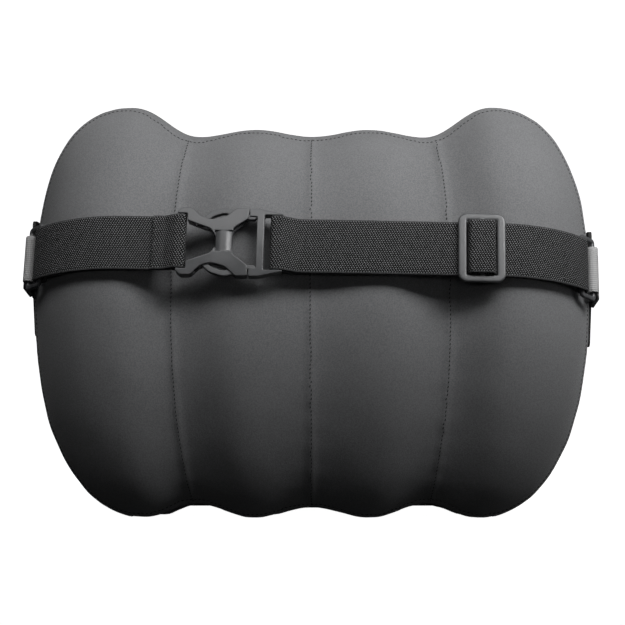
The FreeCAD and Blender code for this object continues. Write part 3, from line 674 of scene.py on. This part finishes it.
def add_to(piece, extra):
    """Joins a second piece's mesh into the first, keeping both materials."""
    joined = bmesh.new()
    joined.from_mesh(piece.data)
    count = len(joined.faces)
    joined.from_mesh(extra.data)
    joined.faces.ensure_lookup_table()
    for face in joined.faces[count:]:
        face.material_index = 1
    joined.to_mesh(piece.data)
    joined.free()
    piece.data.materials.append(extra.data.materials[0])
    bpy.data.objects.remove(extra)


def sew_across(piece, x, y):
    """A row of stitches across a webbing's front, at a place in the strap's plane."""
    path = [strap_point(x, y, z) for z in np.linspace(-17.2, 17.2, 40)]
    row = stitch_line("lap_stitches", path, surface_finder(piece), 0.0024, 0.0017, 0.00026, None, LAP_THREAD)
    add_to(piece, row)


def turn_point(back, out):
    """A point on the turn, back from its end along the webbing and out in front of it."""
    angle, radius = TURN - back / RADIUS, RADIUS + out
    return STRAIGHT + radius * math.sin(angle), RADIUS - radius * math.cos(angle)


def webbing():
    """The strap's two webbings. The long one is in three pieces, joined under the adjuster."""
    left = [
        (SOCKET_BAR - REACH - 15.5, -LAYER, 0.0),
        (SOCKET_BAR - REACH - 7.5, -LAYER, 6.0),
        (SOCKET_BAR - REACH + 0.5, BUCKLE - REACH, 3.0),
        (SOCKET_BAR + REACH, BUCKLE - REACH, 2.4),
        (SOCKET_BAR + REACH, BUCKLE + REACH, 2.4),
    ]
    piece = ribbon("webbing_left", rounded(left + mirrored([turn_corner()] + ring_fold())), WIDTH, THICK,
                   STRAP_CLOTH, wave=0.12)
    sew_across(piece, SOCKET_BAR - REACH - 14.3, -3.0)
    x, y = turn_point(22.5, 3.0)
    sew_across(piece, -x, y)
    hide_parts("webbing_left")
    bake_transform(piece)
    end = rounded([(ADJUSTER, 0.0, 0.0), turn_corner()] + ring_fold())
    piece = ribbon("webbing_right_end", end, WIDTH, THICK, STRAP_CLOTH, wave=0.12)
    sew_across(piece, *turn_point(22.5, 3.0))
    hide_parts("webbing_right")
    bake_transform(piece)
    loop = [
        (ADJUSTER - 6.0, LAYER, 0.0),
        (PLUG_BAR + REACH + 9.0, LAYER, 10.0),
        (PLUG_BAR + REACH, BUCKLE + REACH, 4.0),
        (PLUG_BAR - REACH, BUCKLE + REACH, 2.4),
        (PLUG_BAR - REACH, BUCKLE - REACH, 2.4),
        (PLUG_BAR + REACH - 0.5, BUCKLE - REACH, 3.0),
        (PLUG_BAR + REACH + 12.0, 0.0, 10.0),
        (ADJUSTER, 0.0, 0.0),
    ]
    piece = ribbon("webbing_right_loop", rounded(loop), WIDTH, THICK, STRAP_CLOTH, wave=0.12)
    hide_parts("webbing_right")
    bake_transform(piece)
    over = -7.2         # the arch's height in front of the adjuster's bar
    arch = [
        (ADJUSTER - 9.1, -0.2, 0.0),
        (ADJUSTER - 8.2, over, 3.0),
        (ADJUSTER + 8.2, over, 3.0),
        (ADJUSTER + 9.1, -0.2, 0.0),
    ]
    piece = ribbon("webbing_arch", rounded(arch), WIDTH - 0.4, THICK, STRAP_CLOTH)
    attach(piece, "adjuster")


webbing()


# ---------------------------------------------------------------- side tabs and patches
PATCH_OUTSIDE, PATCH_GAP = 198.9 + 2.3, 1.2


def side_tab(name, side):
    """A doubled tab: sewn to the side patch, with the ring's bar in its fold."""
    bar, loop, thick = tab_bar(), 3.3, 1.6
    inner = PATCH_OUTSIDE + PATCH_GAP + thick / 2
    outer, rear = inner + thick + 0.1, bar.y + 38
    corners = [
        (inner, rear, 0.0),
        (inner, bar.y + 16.5, 6.0),
        (bar.x - loop, bar.y + 2.5, 3.0),
        (bar.x - loop, bar.y - loop, loop * 0.98),
        (bar.x + loop, bar.y - loop, loop * 0.98),
        (bar.x + loop, bar.y + 3.5, 4.0),
        (outer, bar.y + 15.5, 3.0),
        (outer, rear - 3, 0.0),
    ]
    piece = ribbon(name, rounded(corners if side > 0 else mirrored(corners)), 33.5, thick, TAB_CLOTH)
    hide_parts(name)
    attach(piece, "cushion")


for side, place in ((-1, "left"), (1, "right")):
    side_tab("side_tab_" + place, side)

# ---------------------------------------------------------------- rigid pieces shown as they are
FINISH = {
    "black_plastic": (BLACK, ["ring_left", "ring_right", "adjuster", "buckle_socket", "buckle_plug",
                              "prong_upper", "prong_lower"]),
    "zip_metal": (ZIP_METAL, ["zip_slider", "zip_pull", "zip_stops"]),
    "zip_tape": (ZIP_TAPE, ["zip_tape_back", "zip_tape_front"]),
    "patch_cloth": (PATCH_CLOTH, ["side_patch_left", "side_patch_right"]),
}
# (voxel in millimetres, smoothing passes) that give a part the rounded edges it has out of its mould
SOFTEN = {
    "adjuster": (0.4, 8),
    "buckle_socket": (0.34, 7),
    "buckle_plug": (0.34, 7),
    "prong_upper": (0.3, 5),
    "prong_lower": (0.3, 5),
    "ring_left": (0.4, 4),
    "ring_right": (0.4, 4),
    "zip_slider": (0.16, 4),
    "zip_pull": (0.16, 4),
}


def soften(node, voxel, passes):
    """Rounds a CAD part's edges with modifiers; its own mesh stays as it is."""
    skin = node.modifiers.new("skin", "REMESH")
    skin.mode = "VOXEL"
    skin.voxel_size = voxel * MM
    skin.use_smooth_shade = True
    smooth = node.modifiers.new("soften", "SMOOTH")
    smooth.factor, smooth.iterations = 0.5, passes


for slot, (material, names) in FINISH.items():
    for name in names:
        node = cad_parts[name]
        node.data.materials.clear()
        node.data.materials.append(material)
        if name in SOFTEN:
            soften(node, *SOFTEN[name])


# ---------------------------------------------------------------- stage, camera and lights
def stage_plane(name, width, corners, material):
    """A sheet of the stage, from (y, z) corners in metres."""
    points = [(x, y, z) for x in (-width, width) for y, z in corners]
    count = len(corners)
    faces = [(k, k + 1, count + k + 1, count + k) for k in range(count - 1)]
    piece = new_piece(name, points, faces, material, sharp=180.0)
    return piece


def stage():
    """A white paper sweep, bright enough that the ground has no shade."""
    m = Nodes("paper")
    m.set(Base_Color=(0.8, 0.8, 0.81, 1.0), Roughness=0.9, Specular_IOR_Level=0.1)
    m.set(Emission_Color=(1.0, 1.0, 1.0, 1.0), Emission_Strength=1.0)
    curve = [(-3.0, 0.0), (1.2, 0.0)]
    sweep = np.linspace(0, math.pi / 2, 14)[1:]
    curve += [(1.2 + 0.8 * math.sin(a), 0.8 * (1 - math.cos(a))) for a in sweep]
    curve += [(2.0, 4.0)]
    paper = stage_plane("paper", 5.0, curve, m.material)
    paper.visible_diffuse = False
    paper.visible_glossy = False


def flag():
    """A black card in front of the cushion, under the key lights: it keeps them off the lower half."""
    m = Nodes("flag")
    m.set(Base_Color=(0.0, 0.0, 0.0, 1.0), Roughness=1.0, Specular_IOR_Level=0.0)
    card = stage_plane("flag", 2.5, [(-1.89, 0.34), (-0.295, 0.34)], m.material)
    card.visible_camera = False
    card.visible_glossy = False


def area_light(name, place, target, size, power):
    """A soft box of a size in metres, aimed at a target."""
    data = bpy.data.lights.new(name, "AREA")
    data.shape = "RECTANGLE"
    data.size, data.size_y = size
    data.energy = power
    light = bpy.data.objects.new(name, data)
    light.location = place
    light.rotation_euler = (Vector(target) - Vector(place)).to_track_quat("-Z", "Y").to_euler()
    bpy.context.scene.collection.objects.link(light)


stage()
area_light("key", (0.0, -0.85, 1.0), (0.0, -0.05, 0.2), (1.6, 0.5), 8.3)
area_light("key_right", (0.7, -0.85, 0.9), (0.0, -0.05, 0.2), (0.8, 0.5), 14.2)
area_light("side", (1.1, -0.3, 0.3), (0.0, 0.0, 0.15), (0.5, 0.9), 1.1)
area_light("fill", (0.0, -1.6, 0.22), (0.0, 0.0, 0.15), (1.4, 0.2), 1.05)
flag()

world = bpy.data.worlds.new("room")
bpy.context.scene.world = world
world.use_nodes = True
sky = world.node_tree.nodes["Background"]
sky.inputs["Color"].default_value = (0.9, 0.93, 1.0, 1.0)
sky.inputs["Strength"].default_value = 0.006

camera_data = bpy.data.cameras.new("camera")
camera_data.sensor_width = 36.0
camera_data.lens = 75.2
camera_data.shift_x, camera_data.shift_y = -0.044, 0.127
camera_data.clip_start, camera_data.clip_end = 0.05, 30.0
camera = bpy.data.objects.new("camera", camera_data)
camera.location = (0.02, -0.942, 0.09)
camera.rotation_euler = (math.radians(90.0), 0.0, 0.0)
bpy.context.scene.collection.objects.link(camera)
bpy.context.scene.camera = camera
bpy.context.scene.view_settings.view_transform = "Standard"
